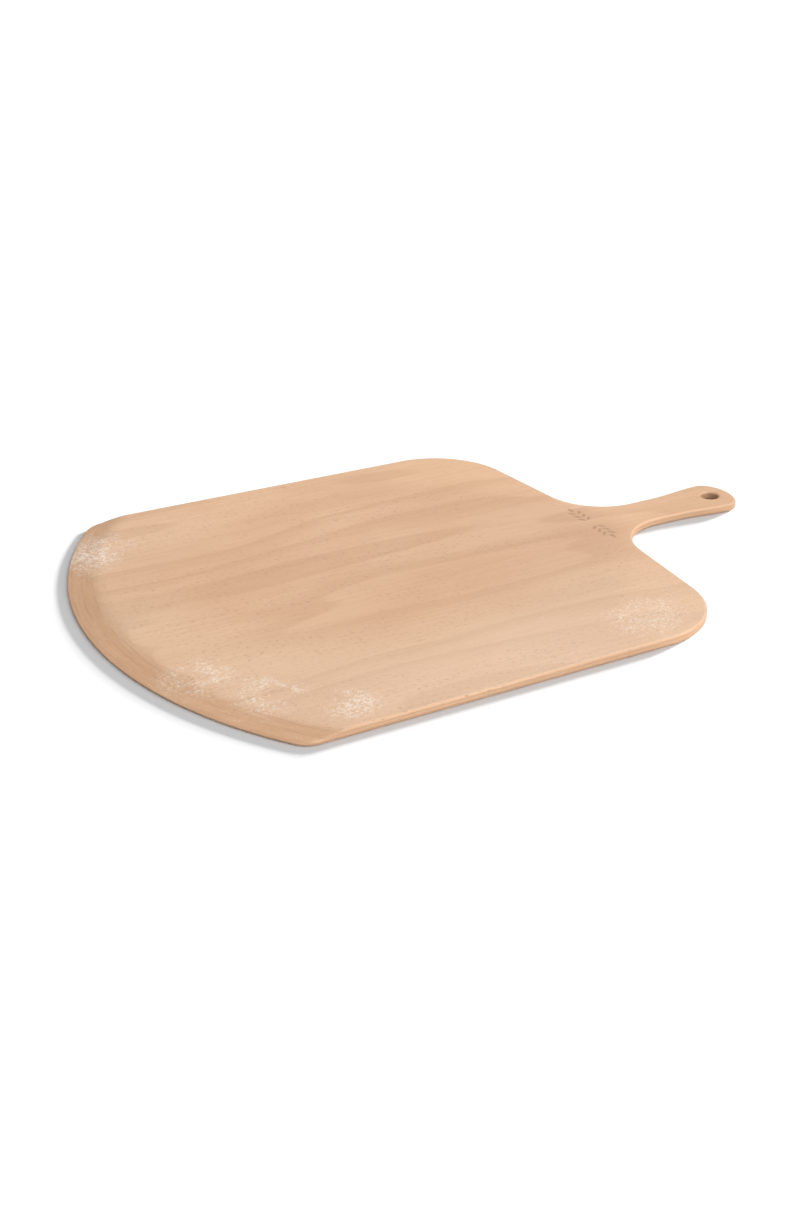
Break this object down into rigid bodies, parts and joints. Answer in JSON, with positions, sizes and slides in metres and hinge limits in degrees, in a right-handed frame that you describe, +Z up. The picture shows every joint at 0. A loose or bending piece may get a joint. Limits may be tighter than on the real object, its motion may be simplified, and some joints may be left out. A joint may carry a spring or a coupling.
{
  "type": "pizza peel",
  "caption": "Flat beech plywood pizza peel with a rounded, bevelled front edge, square-shouldered blade and a short flared handle with a hanging hole.",
  "frame": {"origin": "middle of the board's length and width, on its underside", "axes": "+X from the blade towards the handle, +Y across the blade, +Z up out of the top face"},
  "size_m": [0.4256, 0.302, 0.005],
  "materials": {
    "face_beech": "fine-sanded unvarnished beech face veneer, grain along the handle",
    "core_beech": "sanded beech veneer edge, grain along the handle",
    "crossband_beech": "sanded beech end grain, grain across the blade"
  },
  "bodies": {
    "root": {"bottom_face_veneer": "face_beech", "lower_crossband": "crossband_beech", "core_veneer": "core_beech", "upper_crossband": "crossband_beech", "top_face_veneer": "face_beech"}
  },
  "joints": []
}
